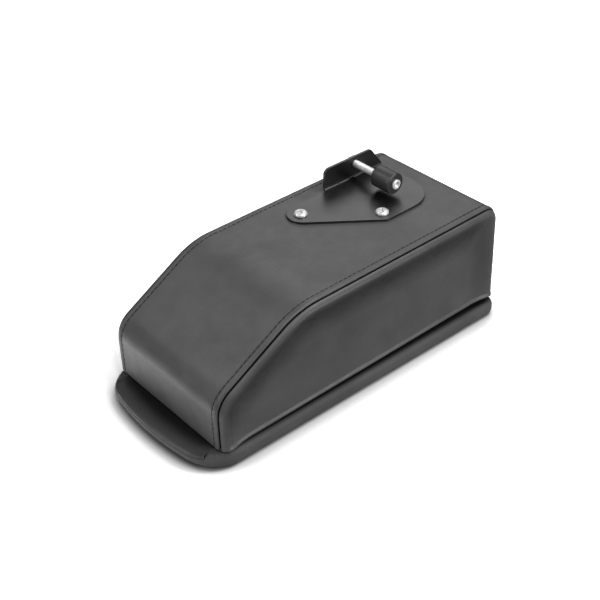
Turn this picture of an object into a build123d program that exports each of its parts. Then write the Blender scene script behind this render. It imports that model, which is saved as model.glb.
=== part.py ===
from build123d import *
import os
from math import asin, atan, atan2, cos, degrees, radians, sin, tan

# Car centre armrest: a leatherette-covered storage box with a padded lid, lying upside down on the lid.
# Frame: X along the length with +X to the hinge end, Y across, +Z up, floor at z = 0 under the lid's pad.
# Box pieces are drawn in a frame of their own, with its origin at the middle of the rear rim.

# Box, outside sizes over the cover
box_length = 274.0
box_rear_width = 121.0
box_front_narrowing = 2.0
box_height = 83.0
rear_lean = 4.2
bend_from_rear = 202.4
nose_height = 41.6
rear_top_radius = 10.0
bend_radius = 62.0
nose_radius = 21.5
side_edge_radius = 6.0

# Layers of the box walls
cover_thickness = 1.2
board_thickness = 6.0
lining_thickness = 1.5
seam_inset = 1.8

# Lid
lid_front_overhang = 19.0
lid_rear_overhang = 2.5
lid_side_overhang = 2.8
lid_thickness = 14.0
lid_board_thickness = 6.0
lid_front_bow = 9.0
lid_front_corner = 27.0
lid_rear_corner = 8.0
lid_edge_radius = 5.0
lid_fold_radius = 2.0
lid_roll_radius = 12.0
lid_fold_width = 2.2
lid_lining_width = 104.0

# Gap between the rim and the lid, which the hinge holds open at the rear
rear_gap = 5.2
front_gap = 0.5

# Hinge
hinge_length = 90.0
hinge_knuckles = 9
hinge_setback = 0.5
hinge_leaf_width = 18.0
hinge_leaf_thickness = 0.9
knuckle_play = 0.4
knuckle_end_gap = 0.2
knuckle_relief = 0.4
hinge_pin_diameter = 2.0
hinge_pin_clearance = 0.1
batten_width = 12.0
batten_height = 12.0
hinge_screw_diameter = 2.6
hinge_screw_head = 5.0
hinge_screw_length = 8.0
hinge_screw_line = 13.0
hinge_screw_count = 4
hinge_screw_margin = 10.0

# Bracket, placed from the rear rim and the centre line
bracket_thickness = 2.0
bracket_rear = 27.2
bracket_near = -21.3
bracket_far = 39.4
bracket_corner_from_rear = 82.7
bracket_corner_radius = 4.0
bracket_rear_radius = 26.4
bracket_tip_from_rear = 122.8
bracket_tip_radius = 12.5
flange_from_rear = 88.2
flange_height = 17.2
flange_slant = 12.2
flange_corner_radius = 5.0
flange_bend_radius = 1.5

# Bracket fasteners
bracket_screw_diameter = 5.0
bracket_screw_head = 10.0
bracket_screw_head_height = 3.0
bracket_screw_head_round = 2.2
bracket_hole_clearance = 0.3
recess_length = 5.0
recess_width = 1.1
recess_depth = 1.6
washer_diameter = 12.0
washer_thickness = 1.2
nut_across_flats = 8.0
nut_height = 4.0
screw_tail = 1.5
tip_screw_from_rear = 125.1
tip_screw_y = 27.1
near_screw_from_rear = 79.3
near_screw_y = -12.1
rear_screw_from_rear = 40.0
rear_screw_y = 28.0

# Pivot stud, its sleeve and its lock nut
stud_diameter = 6.0
stud_from_rear = 55.8
stud_height = 10.8
stud_chamfer = 0.6
stud_clearance = 0.1
stud_bare_length = 24.5
stud_head_diameter = 8.0
stud_head_height = 2.0
socket_across_flats = 3.5
socket_depth = 3.5
sleeve_diameter = 17.0
sleeve_length = 18.4
sleeve_chamfer = 0.7
lock_nut_across_flats = 10.0
lock_nut_height = 3.0
lock_nut_tail = 1.0

# Places that follow from the sizes
board_depth = cover_thickness + board_thickness
lining_depth = board_depth + lining_thickness
lid_length = lid_front_overhang + box_length + lid_rear_overhang
lid_rear_x = lid_length / 2
rear_x = lid_rear_x - lid_rear_overhang
taper = box_front_narrowing / 2 / box_length
close_angle = degrees(asin((rear_gap - front_gap) / box_length))
place_box = Pos(rear_x, 0, lid_thickness + rear_gap) * Rot(0, -close_angle, 0)
place_hinge_on_box = Pos(-hinge_setback, 0, -rear_gap / 2)
hinge_point = (place_box * place_hinge_on_box).position
beyond = lid_thickness + rear_gap + box_height
tall = box_height + beyond
knuckle_diameter = rear_gap - 2 * knuckle_play
plate_top = box_height + bracket_thickness
flange_near = bracket_far + flange_bend_radius
flange_far = flange_near + bracket_thickness


def slab(x_range, y_range, z_range):
    """A block between two corners."""
    ranges = [sorted(pair) for pair in (x_range, y_range, z_range)]
    middle = [(low + high) / 2 for low, high in ranges]
    size = [high - low for low, high in ranges]
    return Pos(*middle) * Box(*size)


def rod(diameter, length):
    """A cylinder along +Z from its base at the origin."""
    return Cylinder(diameter / 2, length, align=(Align.CENTER, Align.CENTER, Align.MIN))


def hex_bar(across_flats, length):
    """A hexagonal bar along +Z from its base at the origin."""
    return extrude(RegularPolygon(across_flats / 2, 6, major_radius=False), amount=length)


def box_profile(depth):
    """Side outline of the box at a depth below its outer skin, run on below the rim."""
    corners = [
        (beyond * rear_lean / box_height, -beyond),
        (-rear_lean, box_height),
        (-bend_from_rear, box_height),
        (-box_length, nose_height),
        (-box_length, -beyond),
    ]
    skin = FilletPolyline(*corners, radius=[rear_top_radius, bend_radius, nose_radius])
    face = make_face([*skin.edges(), Line(corners[-1], corners[0])])
    return offset(face, amount=-depth) if depth else face


def box_plan(depth):
    """Tapered plan between the side walls at a depth below their skin, run on past both ends."""
    ends = (beyond, -box_length - beyond)
    half = [box_rear_width / 2 + x * taper - depth for x in ends]
    corners = [(ends[0], half[0]), (ends[0], -half[0]), (ends[1], -half[1]), (ends[1], half[1])]
    return make_face(Polyline(*corners, close=True))


def box_form(depth, rim=0.0):
    """The box filled solid, from its rim up, at a depth below its skin, with its side edges rounded."""
    body = extrude(Plane.XZ * box_profile(depth), amount=box_rear_width, both=True)
    body = body & extrude(Pos(0, 0, rim) * box_plan(depth), amount=tall)
    if depth >= side_edge_radius:
        return body
    across = body.faces().sort_by(Axis.Y)
    rim_edges = body.faces().sort_by(Axis.Z)[0].edges()
    side_edges = [e for e in across[0].edges() + across[-1].edges() if e not in rim_edges]
    return fillet(side_edges, side_edge_radius - depth)


def side_zone(side, depth, height):
    """All that lies outside the side wall's plane at a depth below its skin; side is -1 near, +1 far."""
    half_space = slab((-box_length - beyond, beyond), (0, side * box_rear_width), (0, height))
    return half_space - extrude(box_plan(depth), amount=height)


def across_strip(x, z, heading):
    """A plane across the strip of walls that runs from the rear over the bottom to the front."""
    return Plane((x, 0, z), x_dir=(0, 1, 0), z_dir=(cos(radians(heading)), 0, sin(radians(heading))))


def box_cuts():
    """Planes that part the strip of walls into rear, bottom, slope, nose and front, in that order."""
    fall = degrees(atan((box_height - nose_height) / (box_length - bend_from_rear)))
    lean = degrees(atan(rear_lean / box_height))
    reach = nose_radius * tan(radians(90 - fall) / 2)
    slope_end = (-box_length + reach * cos(radians(fall)), nose_height + reach * sin(radians(fall)))
    return [
        across_strip(-rear_lean, box_height, 135 + lean / 2),
        across_strip(-bend_from_rear, box_height, 180 + fall / 2),
        across_strip(*slope_end, 180 + fall),
        across_strip(-box_length, nose_height - reach, 270),
    ]


def make_carcass():
    """Plywood boards of the box, and the batten inside the rear rim that takes the hinge screws."""
    pieces = {}
    strip = board_form - room_form
    for name, side in (("near", -1), ("far", 1)):
        zone = side_zone(side, board_depth, tall)
        pieces[f"{name}_side_board"] = board_form & zone
        strip = strip - zone
    names = ["rear_board", "bottom_board", "slope_board", "nose_board", "front_board"]
    for name, cut in zip(names, box_cuts()):
        pieces[name] = split(strip, bisect_by=cut, keep=Keep.BOTTOM)
        strip = split(strip, bisect_by=cut, keep=Keep.TOP)
    pieces[names[-1]] = strip
    batten_zone = slab((-board_depth - batten_width, beyond), (-box_rear_width, box_rear_width), (0, batten_height))
    pieces["hinge_batten"] = room_form & batten_zone
    return pieces


def make_cover():
    """Leatherette cover: a centre strip and two side panels, hemmed under the rim of the boards."""
    shell = skin_form - board_form - room_form
    under_boards = box_form(cover_thickness)
    pieces = {}
    for name, side in (("near", -1), ("far", 1)):
        zone = side_zone(side, seam_inset, tall) + (side_zone(side, board_depth, cover_thickness) & under_boards)
        pieces[f"cover_{name}_side"] = shell & zone
        shell = shell - zone
    return {"cover_centre_strip": shell, **pieces}


def make_lining(batten):
    """Carpet lining: one strip over the rear, bottom, slope and front, and a sheet on each side."""
    shell = room_form - batten
    pieces = {}
    for name, side in (("near", -1), ("far", 1)):
        zone = side_zone(side, lining_depth, tall)
        pieces[f"lining_{name}_side"] = shell & zone
        shell = shell - zone
    return {"lining_strip": shell - box_form(lining_depth), **pieces}


def lid_half_width(x):
    """Half of the lid's width at a place along it, which follows the box's taper."""
    return box_rear_width / 2 + lid_side_overhang + (x - rear_x) * taper


def lid_outline(depth):
    """Plan of the lid at a depth inside its edge: bowed front, big front corners, sides along the box."""
    ends = (-lid_rear_x + lid_front_bow, lid_rear_x)
    half = [lid_half_width(x) for x in ends]
    near = Line((ends[0], -half[0]), (ends[1], -half[1]))
    rear = Line((ends[1], -half[1]), (ends[1], half[1]))
    far = Line((ends[1], half[1]), (ends[0], half[0]))
    front = ThreePointArc((ends[0], half[0]), (-lid_rear_x, 0), (ends[0], -half[0]))
    face = make_face([near, rear, far, front])
    face = fillet(face.vertices().sort_by(Axis.X)[:2], lid_front_corner)
    face = fillet(face.vertices().sort_by(Axis.X)[-2:], lid_rear_corner)
    return offset(face, amount=-depth) if depth else face


def lid_form(depth):
    """The lid filled solid at a depth below its skin: soft lower edges, and a front that rolls up."""
    body = extrude(Pos(0, 0, depth) * lid_outline(depth), amount=lid_thickness - 2 * depth)
    body = fillet(body.faces().sort_by(Axis.Z)[0].edges(), lid_edge_radius - depth)
    body = fillet(body.faces().sort_by(Axis.Z)[-1].edges(), lid_fold_radius - depth)
    chord = lid_half_width(-lid_rear_x + lid_front_bow)
    bow_radius = (chord**2 + lid_front_bow**2) / 2 / lid_front_bow
    bow_axis = Axis((bow_radius - lid_rear_x, 0, 0), (0, 0, 1))
    roll = lid_roll_radius - depth
    roll_middle = Pos(bow_radius - lid_roll_radius, lid_roll_radius)
    corner_align = (Align.MIN, Align.MAX)
    section = roll_middle * Rectangle(2 * roll, 2 * roll, align=corner_align) - roll_middle * Circle(roll)
    return body - revolve(Pos(bow_axis.position) * (Plane.XZ * section), bow_axis)


def make_lid():
    """Padded lid, from the floor up: cover, foam, board, and a lining between the cover's two side folds."""
    inside = lid_form(cover_thickness)
    lining_low = lid_thickness - cover_thickness
    foam_zone = slab((-lid_length, lid_length), (-lid_length, lid_length), (0, lining_low - lid_board_thickness))
    lining_zone = slab((-lid_length, lid_length), (-lid_lining_width / 2, lid_lining_width / 2), (0, lid_thickness))
    lining = extrude(Pos(0, 0, lining_low) * lid_outline(lid_fold_width), amount=cover_thickness) & lining_zone
    return {
        "lid_cover": lid_form(0) - inside - lining,
        "lid_foam": inside & foam_zone,
        "lid_board": inside - foam_zone,
        "lid_lining": lining,
    }


def hinge_leaf(first_knuckle, plate_z):
    """One leaf of the piano hinge about its pin along Y: a plate with every second knuckle rolled on."""
    pitch = hinge_length / hinge_knuckles
    relief = knuckle_diameter / 2 + knuckle_relief
    leaf = slab((-hinge_leaf_width, 0), (-hinge_length / 2, hinge_length / 2), plate_z)
    for index in range(hinge_knuckles):
        y = (index + 0.5) * pitch - hinge_length / 2
        if index % 2 == first_knuckle:
            leaf += Pos(0, y, 0) * Rot(90, 0, 0) * Cylinder(knuckle_diameter / 2, pitch - knuckle_end_gap)
        else:
            leaf -= slab((-relief, beyond), (y - pitch / 2, y + pitch / 2), plate_z)
    return leaf - Rot(90, 0, 0) * Cylinder(hinge_pin_diameter / 2 + hinge_pin_clearance, 2 * hinge_length)


def hinge_screws(points_down):
    """A row of countersunk wood screws on the leaf's screw line, seen from the rear rim, heads at z = 0."""
    head_height = (hinge_screw_head - hinge_screw_diameter) / 2
    head_align = (Align.CENTER, Align.CENTER, Align.MAX)
    head = Cone(hinge_screw_diameter / 2, hinge_screw_head / 2, head_height, align=head_align)
    screw = head + Pos(0, 0, -hinge_screw_length) * rod(hinge_screw_diameter, hinge_screw_length)
    if not points_down:
        screw = Rot(180, 0, 0) * screw
    reach = hinge_length / 2 - hinge_screw_margin
    step = 2 * reach / (hinge_screw_count - 1)
    return [Pos(-hinge_screw_line, i * step - reach, 0) * screw for i in range(hinge_screw_count)]


def make_bracket():
    """Folded steel bracket: a flat plate with rounded corners and one flange turned up at its far edge."""
    corner = Vector(-bracket_corner_from_rear, bracket_near)
    to_tip = Vector(-bracket_tip_from_rear, bracket_far - bracket_tip_radius) - corner
    heading = atan2(to_tip.Y, to_tip.X) + asin(bracket_tip_radius / to_tip.length)
    tip_x = corner.X + (bracket_far - bracket_near) / tan(heading)
    rear_near = (-bracket_rear, bracket_near)
    outline = make_face(Polyline((-bracket_rear, bracket_far), (tip_x, bracket_far), corner, rear_near, close=True))
    outline = fillet(outline.vertices().sort_by_distance(rear_near)[0], bracket_rear_radius)
    outline = fillet(outline.vertices().sort_by_distance(corner)[0], bracket_corner_radius)
    outline = fillet(outline.vertices().sort_by(Axis.X)[0], bracket_tip_radius)
    plate = extrude(Pos(0, 0, box_height) * outline, amount=bracket_thickness)

    fold_z = plate_top + flange_bend_radius
    fold_span = (-flange_from_rear, -bracket_rear)
    middle = sum(fold_span) / 2
    length = fold_span[1] - fold_span[0]
    bend = Cylinder(flange_bend_radius + bracket_thickness, length) - Cylinder(flange_bend_radius, 2 * length)
    bend = Pos(middle, bracket_far, fold_z) * Rot(0, 90, 0) * bend
    bend = bend & slab(fold_span, (bracket_far, flange_far), (box_height, fold_z))

    top = plate_top + flange_height
    upright = [
        (fold_span[0], fold_z),
        (fold_span[1], fold_z),
        (fold_span[1] - flange_slant, top),
        (fold_span[0], top),
    ]
    face = make_face(Polyline(*upright, close=True))
    face = fillet(face.vertices().group_by(Axis.Y)[-1], flange_corner_radius)
    flange = extrude(Pos(0, flange_far, 0) * (Plane.XZ * face), amount=bracket_thickness)
    return plate + bend + flange


def make_bracket_fasteners():
    """Pan-head screws through the bracket and the box bottom, each with a washer and a nut inside."""
    spots = [
        (-tip_screw_from_rear, tip_screw_y),
        (-near_screw_from_rear, near_screw_y),
        (-rear_screw_from_rear, rear_screw_y),
    ]
    hole_diameter = bracket_screw_diameter + bracket_hole_clearance
    washer_low = box_height - lining_depth - washer_thickness
    nut_low = washer_low - nut_height
    head = rod(bracket_screw_head, bracket_screw_head_height)
    head = fillet(head.edges().sort_by(Axis.Z)[-1], bracket_screw_head_round)
    for turn in (0, 90):
        arm = Box(recess_length, recess_width, 2 * recess_depth)
        head -= Pos(0, 0, bracket_screw_head_height) * Rot(0, 0, turn) * arm
    shank_length = plate_top - nut_low + screw_tail
    screw = head + Pos(0, 0, -shank_length) * rod(bracket_screw_diameter, shank_length)
    washer = rod(washer_diameter, washer_thickness) - rod(hole_diameter, washer_thickness)
    nut = hex_bar(nut_across_flats, nut_height) - rod(bracket_screw_diameter, nut_height)
    hole = rod(hole_diameter, tall)
    return {
        "bracket_screws": [Pos(x, y, plate_top) * screw for x, y in spots],
        "bracket_washers": [Pos(x, y, washer_low) * washer for x, y in spots],
        "bracket_nuts": [Pos(x, y, nut_low) * nut for x, y in spots],
    }, [Pos(x, y, nut_low) * hole for x, y in spots]


def make_pivot():
    """Headed stud through the flange with a plain sleeve under its head and a lock nut behind."""
    sleeve_far = flange_near - stud_bare_length
    stud_far = flange_far + lock_nut_height + lock_nut_tail
    stud_length = stud_far - sleeve_far + sleeve_length + stud_head_height
    bore = rod(stud_diameter + 2 * stud_clearance, 2 * stud_length)

    def toward_near(y):
        return Pos(-stud_from_rear, y, plate_top + stud_height) * Rot(90, 0, 0)

    stud = rod(stud_diameter, stud_length)
    stud = chamfer(stud.edges().group_by(Axis.Z)[0], stud_chamfer)
    head = rod(stud_head_diameter, stud_head_height)
    head = chamfer(head.edges().group_by(Axis.Z)[-1], stud_chamfer)
    stud += Pos(0, 0, stud_length - stud_head_height) * head
    stud -= Pos(0, 0, stud_length - socket_depth) * hex_bar(socket_across_flats, 2 * socket_depth)
    sleeve = chamfer(rod(sleeve_diameter, sleeve_length).edges().filter_by(GeomType.CIRCLE), sleeve_chamfer)
    nut = hex_bar(lock_nut_across_flats, lock_nut_height)
    return {
        "pivot_stud": toward_near(stud_far) * stud,
        "pivot_sleeve": toward_near(sleeve_far) * (sleeve - bore),
        "stud_lock_nut": toward_near(flange_far + lock_nut_height) * (nut - bore),
    }, toward_near(stud_far) * bore


skin_form = box_form(0)
board_form = box_form(cover_thickness, cover_thickness)
room_form = box_form(board_depth)

# Pieces of the box, in the box's frame
box = {**make_carcass(), **make_cover()}
box.update(make_lining(box["hinge_batten"]))
fasteners, screw_holes = make_bracket_fasteners()
pivot, stud_hole = make_pivot()
box["bracket_plate"] = make_bracket() - stud_hole
for name in ("bracket_plate", "cover_centre_strip", "bottom_board", "lining_strip"):
    box[name] = box[name] - screw_holes
box_leaf = place_hinge_on_box * hinge_leaf(1, (rear_gap / 2 - hinge_leaf_thickness, rear_gap / 2))
box_screws = [Pos(0, 0, -hinge_leaf_thickness) * screw for screw in hinge_screws(points_down=False)]
box["hinge_leaf_box"] = box_leaf - box_screws
box["hinge_batten"] = box["hinge_batten"] - box_screws
box["hinge_screws_box"] = box_screws
box.update(fasteners)
box.update(pivot)

# Pieces of the lid, in the armrest's frame
lid = make_lid()
lid_plate_z = lid_thickness - hinge_point.Z
lid_leaf = Pos(hinge_point) * hinge_leaf(0, (lid_plate_z, lid_plate_z + hinge_leaf_thickness))
lid_screws = [Pos(rear_x, 0, lid_thickness + hinge_leaf_thickness) * screw for screw in hinge_screws(points_down=True)]
lid["hinge_leaf_lid"] = lid_leaf - lid_screws
lid["lid_lining"] = lid["lid_lining"] - lid_screws
lid["lid_board"] = lid["lid_board"] - lid_screws
lid["hinge_screws_lid"] = lid_screws
lid["hinge_pin"] = Pos(hinge_point) * Rot(90, 0, 0) * Cylinder(hinge_pin_diameter / 2, hinge_length)

os.makedirs("parts", exist_ok=True)
for pieces, place in ((lid, Pos(0, 0, 0)), (box, place_box)):
    for name, piece in pieces.items():
        solids = piece if isinstance(piece, list) else [piece]
        placed = [place * solid for solid in solids]
        export_step(placed[0] if len(placed) == 1 else Compound(children=placed), f"parts/{name}.step")
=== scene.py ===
# %% [markdown]
# # Car centre armrest, upside down on its lid
# A car centre armrest is a small covered box with a padded lid. Here it lies upside down, as a seller would
# lay it out to show the bracket on its underside. The CAD frame already holds every board, hinge and
# fastener in its place. This lesson adds what an upholsterer adds: soft skins, seams, stitches and the
# finish of each material.

# %% Load the shared frame
from math import acos, asin, atan2, copysign, cos, degrees, pi, radians, sin, sqrt, tan

import bmesh
import bpy
import numpy as np
from mathutils import Matrix, Vector


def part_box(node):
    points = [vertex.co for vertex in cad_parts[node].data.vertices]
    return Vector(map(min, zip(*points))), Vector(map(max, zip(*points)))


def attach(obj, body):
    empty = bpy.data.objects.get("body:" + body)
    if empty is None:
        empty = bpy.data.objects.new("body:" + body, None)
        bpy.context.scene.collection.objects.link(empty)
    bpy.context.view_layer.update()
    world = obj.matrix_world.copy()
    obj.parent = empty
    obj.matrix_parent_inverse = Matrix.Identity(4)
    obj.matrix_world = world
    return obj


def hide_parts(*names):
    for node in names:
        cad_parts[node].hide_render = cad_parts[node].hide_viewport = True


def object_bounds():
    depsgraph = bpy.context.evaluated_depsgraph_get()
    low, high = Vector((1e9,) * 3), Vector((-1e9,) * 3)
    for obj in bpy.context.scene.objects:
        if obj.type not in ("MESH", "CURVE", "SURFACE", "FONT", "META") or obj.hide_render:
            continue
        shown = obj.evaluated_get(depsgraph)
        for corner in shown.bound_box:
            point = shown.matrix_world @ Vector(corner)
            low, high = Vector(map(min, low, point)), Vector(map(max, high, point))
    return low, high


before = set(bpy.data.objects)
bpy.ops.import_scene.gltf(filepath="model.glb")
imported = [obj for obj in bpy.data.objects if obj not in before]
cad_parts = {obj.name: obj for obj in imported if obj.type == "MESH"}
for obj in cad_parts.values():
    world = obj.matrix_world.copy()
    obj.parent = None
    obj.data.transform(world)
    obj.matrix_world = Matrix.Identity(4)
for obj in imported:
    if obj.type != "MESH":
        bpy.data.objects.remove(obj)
scene = bpy.context.scene
cad_bounds = [list(corner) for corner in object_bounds()]
mm = 0.001
print("CAD box, mm:", [[round(c / mm, 1) for c in corner] for corner in cad_bounds])

# %% [markdown]
# ## The camera
# The photograph was taken from the front left and from above, with a mild tele lens. The camera's place was
# worked out from the box's own edges, so the model falls on the same pixels as the photo.

# %% Place the camera
turn = radians(-41.495)
rise = radians(35.713)
camera_distance = 0.842381
shift_right = -0.004383
shift_up = 0.03861
back = Vector((sin(turn) * cos(rise), -cos(turn) * cos(rise), sin(rise)))
right = Vector((cos(turn), sin(turn), 0.0))
up = back.cross(right)
camera_place = back * camera_distance + right * shift_right + up * shift_up
camera_data = bpy.data.cameras.new("studio camera")
camera_data.sensor_width = 36.0
camera_data.lens = 65.68
camera = bpy.data.objects.new("studio camera", camera_data)
camera_axes = Matrix((right, up, back)).transposed().to_4x4()
camera.matrix_world = Matrix.Translation(camera_place) @ camera_axes
scene.collection.objects.link(camera)
scene.camera = camera
print("camera at", [round(c, 3) for c in camera_place])

# %% [markdown]
# ## Small helpers for materials
# Every finish below is a Principled shader with a little noise behind it. Nothing real is perfectly even,
# so each material gets a soft variation of colour and gloss, and a bump for its grain. A new node goes into
# the tree of the node or socket that it is made for. A Mix node keeps its sockets for numbers, vectors and
# colours in one list, so those for colours are called by their place in it.

# %% Material helpers
mix_factor = 0
mix_low = 6
mix_high = 7
mix_result = 2


def new_node(near, kind):
    return near.id_data.nodes.new("ShaderNode" + kind)


def settle(node, values):
    for socket, value in values.items():
        node.inputs[socket].default_value = value


def wire(output, node, socket):
    node.id_data.links.new(output, node.inputs[socket])


def shader(name, colour, roughness, metallic=0.0, specular=0.5):
    material = bpy.data.materials.new(name)
    material.use_nodes = True
    surface = material.node_tree.nodes["Principled BSDF"]
    settle(surface, {"Base Color": (*colour, 1.0), "Roughness": roughness, "Metallic": metallic,
                     "Specular IOR Level": specular})
    return material, surface


def place_of(surface):
    return new_node(surface, "TexCoord").outputs["Object"]


def noise(place, scale, detail=3.0, rough=0.5):
    node = new_node(place, "TexNoise")
    settle(node, {"Scale": scale, "Detail": detail, "Roughness": rough})
    wire(place, node, "Vector")
    return node.outputs["Fac"]


def spread(value, low, high, start=0.3, end=0.7):
    node = new_node(value, "MapRange")
    settle(node, {"From Min": start, "From Max": end, "To Min": low, "To Max": high})
    wire(value, node, "Value")
    return node.outputs["Result"]


def tint(factor, low, high):
    node = new_node(factor, "Mix")
    node.data_type = "RGBA"
    for socket, colour in ((mix_low, low), (mix_high, high)):
        if isinstance(colour, tuple):
            node.inputs[socket].default_value = (*colour, 1.0)
        else:
            wire(colour, node, socket)
    wire(factor, node, mix_factor)
    return node.outputs[mix_result]


def bump(height, depth, strength=1.0, under=None):
    node = new_node(height, "Bump")
    settle(node, {"Distance": depth, "Strength": strength})
    wire(height, node, "Height")
    if under is not None:
        wire(under, node, "Normal")
    return node.outputs["Normal"]


# %% [markdown]
# ## Leatherette
# Leatherette is a vinyl skin on knitted cloth, embossed with a fine grain. The grain is a cell pattern
# about a millimetre across with rounded tops, and the gloss is uneven where hands and tools have rubbed it.
# It is dark grey rather than pure black: a pure black would swallow the shapes of the seams. A painted shade
# value on the mesh takes colour and gloss away inside the seams, in the hollows and in the gaps: this is
# shade painted into the colour, not cast by the lamps.

# %% Leatherette
cool_tone = 1.03
cloud_scale = 38.0
cloud_tones = (0.88, 1.14)
rub_scale = 120.0
rub_change = (-0.05, 0.06)
dent_scale = 95.0
dent_depth = 0.00012
dent_strength = 0.5
grain_scale = 820.0
grain_smoothness = 0.6
grain_strength = 0.6
# black of the painted shade in seams, hollows and gaps
painted_shade_black = (0.002, 0.002, 0.002)


def leatherette(name, tone, roughness, grain_depth, shine):
    grey = (tone, tone, tone * cool_tone)
    material, surface = shader(name, grey, roughness)
    place = place_of(surface)
    clouds = spread(noise(place, cloud_scale), 0.0, 1.0)
    skin = tint(clouds, *(tuple(c * change for c in grey) for change in cloud_tones))
    painted_shade = new_node(surface, "Attribute")
    painted_shade.attribute_name = "painted_shade"
    painted_shade_level = painted_shade.outputs["Fac"]
    # painted shade: the mesh's painted shade value turns the colour black and takes the gloss away
    wire(tint(painted_shade_level, skin, painted_shade_black), surface, "Base Color")
    wire(spread(painted_shade_level, shine, 0.0, 0.0, 1.0), surface, "Specular IOR Level")
    rubbed = noise(place, rub_scale)
    wire(spread(rubbed, *(roughness + change for change in rub_change)), surface, "Roughness")
    cells = new_node(surface, "TexVoronoi")
    cells.feature = "SMOOTH_F1"
    settle(cells, {"Scale": grain_scale, "Smoothness": grain_smoothness})
    wire(place, cells, "Vector")
    dents = bump(noise(place, dent_scale), dent_depth, dent_strength)
    wire(bump(cells.outputs["Distance"], grain_depth, grain_strength, dents), surface, "Normal")
    return material


cover_skin = leatherette("black leatherette", 0.062, 0.42, grain_depth=0.00012, shine=0.3)
lid_skin = leatherette("black leatherette of the lid", 0.062, 0.5, grain_depth=0.00012, shine=0.18)
inner_skin = leatherette("inner leatherette", 0.03, 0.42, grain_depth=0.0001, shine=0.45)
print("leatherette finishes:", cover_skin.name, lid_skin.name, inner_skin.name)

# %% [markdown]
# ## Board, foam, carpet, steel and plastic
# The pieces that the CAD already shapes well only need a finish. Zinc plating is a bright metal with faint
# cloudy patches. The bracket is powder coated, which leaves a fine orange peel. The sleeve is moulded
# plastic. Each finish takes a noise or two and lets them vary the colour, the roughness or the grain.

# %% Other finishes
def vary(surface, value, colours=None, roughness=None, grain=None):
    if colours is not None:
        wire(tint(value, *colours), surface, "Base Color")
    if roughness is not None:
        wire(spread(value, *roughness), surface, "Roughness")
    if grain is not None:
        wire(bump(value, *grain), surface, "Normal")


board, board_surface = shader("carcass board", (0.42, 0.29, 0.17), 0.7)
board_fibres = noise(place_of(board_surface), 260.0, 6.0, 0.7)
board_tones = spread(board_fibres, 0.0, 1.0)
vary(board_surface, board_tones, colours=((0.33, 0.21, 0.12), (0.5, 0.36, 0.22)))
vary(board_surface, board_fibres, grain=(0.0002, 0.5))

foam, foam_surface = shader("pad foam", (0.5, 0.45, 0.3), 0.95, 0.0, 0.2)
foam_pores = noise(place_of(foam_surface), 900.0, 2.0)
vary(foam_surface, foam_pores, colours=((0.42, 0.37, 0.24), (0.58, 0.53, 0.37)), grain=(0.0004, 0.8))

carpet, carpet_surface = shader("carpet lining", (0.022, 0.022, 0.024), 0.95, 0.0, 0.15)
carpet_tufts = noise(place_of(carpet_surface), 1100.0, 4.0, 0.7)
carpet_tones = ((0.012, 0.012, 0.013), (0.05, 0.05, 0.053))
vary(carpet_surface, carpet_tufts, colours=carpet_tones, grain=(0.0006, 0.9))
settle(carpet_surface, {"Sheen Weight": 0.25})

zinc, zinc_surface = shader("zinc plated steel", (0.84, 0.84, 0.83), 0.34, 0.35)
zinc_clouds = noise(place_of(zinc_surface), 420.0, 4.0)
zinc_tones = ((0.56, 0.56, 0.55), (0.76, 0.76, 0.75))
vary(zinc_surface, zinc_clouds, colours=zinc_tones, roughness=(0.26, 0.42))

coated, coated_surface = shader("black coated steel", (0.002, 0.002, 0.0021), 0.3, 0.0, 0.95)
coated_place = place_of(coated_surface)
coated_peel = noise(coated_place, 700.0, 2.0)
coated_haze = noise(coated_place, 60.0, 3.0)
coated_tones = ((0.0015, 0.0015, 0.0016), (0.003, 0.003, 0.0032))
vary(coated_surface, coated_haze, colours=coated_tones, roughness=(0.29, 0.36))
vary(coated_surface, coated_peel, grain=(0.00005, 0.4))

plastic, plastic_surface = shader("black plastic", (0.018, 0.018, 0.019), 0.42, 0.0, 0.7)
plastic_haze = noise(place_of(plastic_surface), 180.0, 4.0)
vary(plastic_surface, plastic_haze, roughness=(0.36, 0.48), grain=(0.00008, 0.4))

thread, thread_surface = shader("black sewing thread", (0.012, 0.012, 0.013), 0.6, 0.0, 0.3)
thread_fibres = noise(place_of(thread_surface), 5200.0, 2.0)
vary(thread_surface, thread_fibres, grain=(0.0001, 0.7))
print("other finishes:", [m.name for m in (board, foam, carpet, zinc, coated, plastic, thread)])

# %% Finishes on the CAD nodes
finishes = {
    "black_leatherette": cover_skin,
    "inner_leatherette": inner_skin,
    "carcass_board": board,
    "pad_foam": foam,
    "carpet_lining": carpet,
    "zinc_steel": zinc,
    "black_coated_steel": coated,
    "black_plastic": plastic,
}
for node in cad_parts.values():
    for material_slot in node.material_slots:
        plain_name = material_slot.material.name.split(".")[0]
        material_slot.material = finishes[plain_name]
print("finished CAD nodes:", len(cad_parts))

# %% [markdown]
# ## Mesh helpers
# The soft pieces are drawn as rows of points, like the ribs and planks of a boat. A row is one line across
# the piece, and neighbouring rows are joined with four-sided faces. Points that fall together are merged
# afterwards. Each point can carry a painted shade value, which the leatherette uses to paint shade inside a
# seam and in other shaded places.

# %% Mesh helpers
merge_distance = 0.00001


def unit(value):
    return min(1.0, max(0.0, value))


def ease(value):
    value = unit(value)
    return value * value * (3.0 - 2.0 * value)


def bridge(line, other, closed=False):
    faces = []
    for k in range(len(line) if closed else len(line) - 1):
        n = (k + 1) % len(line)
        faces.append((line[k], line[n], other[n], other[k]))
    return faces


def planks(rows, columns, first=0, closed=False):
    lines = [range(first + r * columns, first + (r + 1) * columns) for r in range(rows)]
    return [face for line, other in zip(lines, lines[1:]) for face in bridge(line, other, closed)]


def shape_of(mesh):
    shape = bmesh.new()
    shape.from_mesh(mesh)
    return shape


def smooth_into(mesh, shape):
    for face in shape.faces:
        face.smooth = True
    shape.to_mesh(mesh)
    shape.free()


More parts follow.
